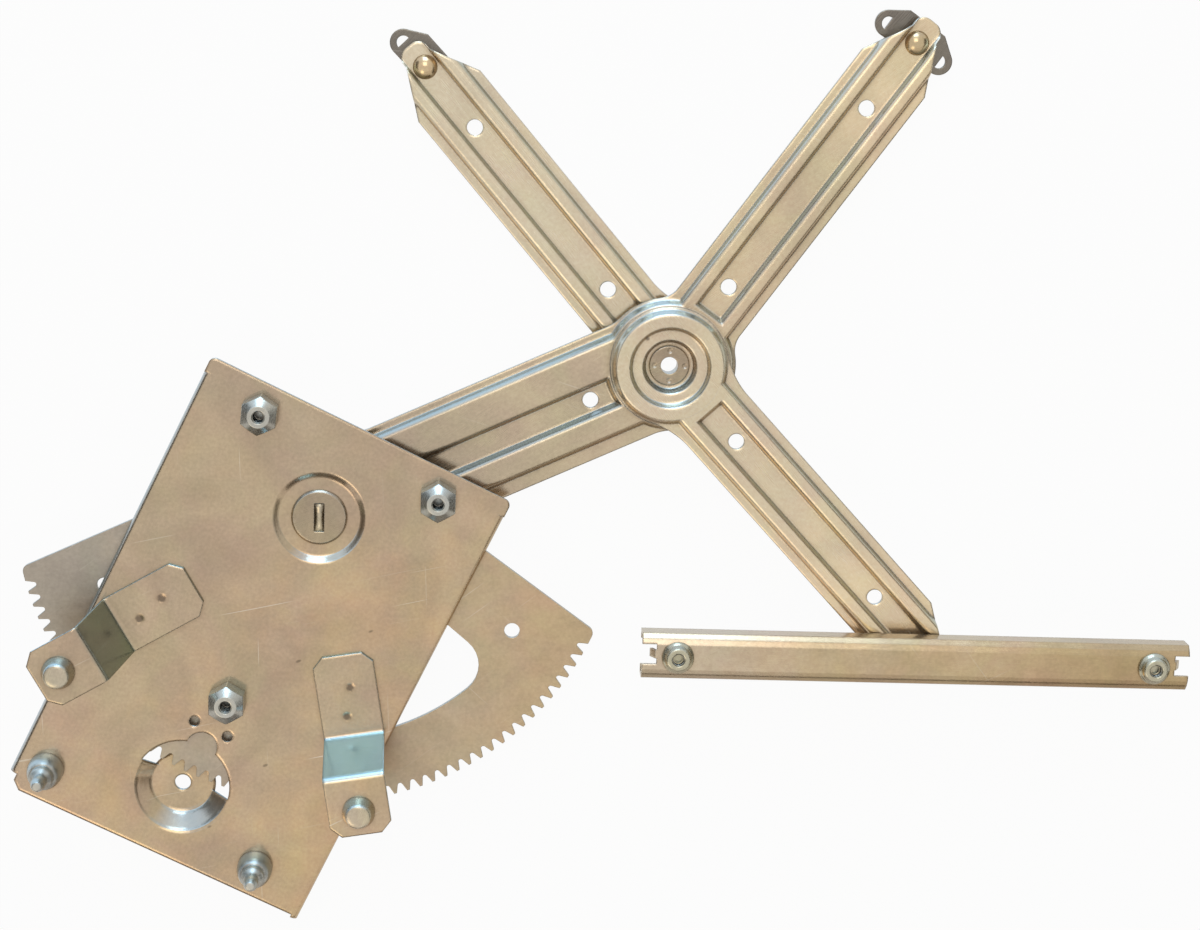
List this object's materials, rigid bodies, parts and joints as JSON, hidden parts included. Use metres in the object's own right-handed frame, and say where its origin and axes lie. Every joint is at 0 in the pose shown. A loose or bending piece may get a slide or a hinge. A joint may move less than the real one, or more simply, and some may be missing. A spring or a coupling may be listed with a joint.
{
  "type": "window regulator",
  "caption": "Scissor-arm window regulator with a toothed sector, guide rail, panel brackets and turning glass slides.",
  "frame": {"origin": "on the main pivot's axis, in the front face of the base plate", "axes": "+X along the guide rail, +Y towards the top of the door, +Z towards the door's inner panel"},
  "size_m": [0.5538, 0.4387, 0.0664],
  "materials": {
    "plate_steel": "yellow-passivated sheet steel",
    "arm_steel": "yellow-passivated sheet steel",
    "rail_steel": "yellow-passivated sheet steel",
    "sector_steel": "yellow-passivated sheet steel",
    "slide_steel": "dark plated sheet steel",
    "bright_zinc": "bright zinc plate"
  },
  "bodies": {
    "base": {"base_plate": "plate_steel", "bracket_left": "plate_steel", "bracket_right": "plate_steel", "bracket_boss_left": "bright_zinc", "bracket_boss_right": "bright_zinc", "plate_nut_upper_left": "bright_zinc", "plate_nut_upper_right": "bright_zinc", "plate_nut_lower": "bright_zinc", "locating_stud_left": "bright_zinc", "locating_stud_right": "bright_zinc", "pivot_pin": "bright_zinc"},
    "lift_arm": {"lift_arm": "arm_steel", "toothed_sector": "sector_steel", "sector_rivets": "bright_zinc", "lift_slide_rivet": "bright_zinc"},
    "equalizer": {"equalizer_front_arm": "arm_steel", "equalizer_rear_arm": "arm_steel", "hub_sleeve": "bright_zinc", "equalizer_slide_rivet": "bright_zinc", "rail_slide_rivet": "bright_zinc"},
    "glass_slide_right": {"glass_slide_right": "slide_steel"},
    "glass_slide_left": {"glass_slide_left": "slide_steel"},
    "rail_slide": {"rail_slide": "slide_steel"},
    "guide_rail": {"guide_rail": "rail_steel", "rail_nut_left": "bright_zinc", "rail_nut_right": "bright_zinc"}
  },
  "joints": [
    {"name": "lift", "type": "hinge", "parent": "base", "child": "lift_arm", "pos_m": [0, 0, 0], "axis": [0, 0, 1], "range_deg": [-72, 8]},
    {"name": "cross_pivot", "type": "hinge", "parent": "lift_arm", "child": "equalizer", "pos_m": [0.1601, 0.075, 0], "axis": [0, 0, 1], "range_deg": [-16.2, 144.2]},
    {"name": "rail_pivot", "type": "hinge", "parent": "equalizer", "child": "rail_slide", "pos_m": [0.28779, -0.05956, 0], "axis": [0, 0, 1], "range_deg": [-72.2, 8.2]},
    {"name": "rail_travel", "type": "slide", "parent": "rail_slide", "child": "guide_rail", "axis": [1, 0, 0], "range_m": [-0.075, 0.08]},
    {"name": "right_glass_pivot", "type": "hinge", "parent": "lift_arm", "child": "glass_slide_right", "pos_m": [0.26675, 0.22617, 0], "axis": [0, 0, 1], "continuous": true},
    {"name": "left_glass_pivot", "type": "hinge", "parent": "equalizer", "child": "glass_slide_left", "pos_m": [0.04394, 0.20722, 0], "axis": [0, 0, 1], "continuous": true}
  ],
  "couplings": [
    {"joint": "cross_pivot", "follows": "lift", "ratio": -2},
    {"joint": "rail_pivot", "follows": "lift", "ratio": 1}
  ]
}
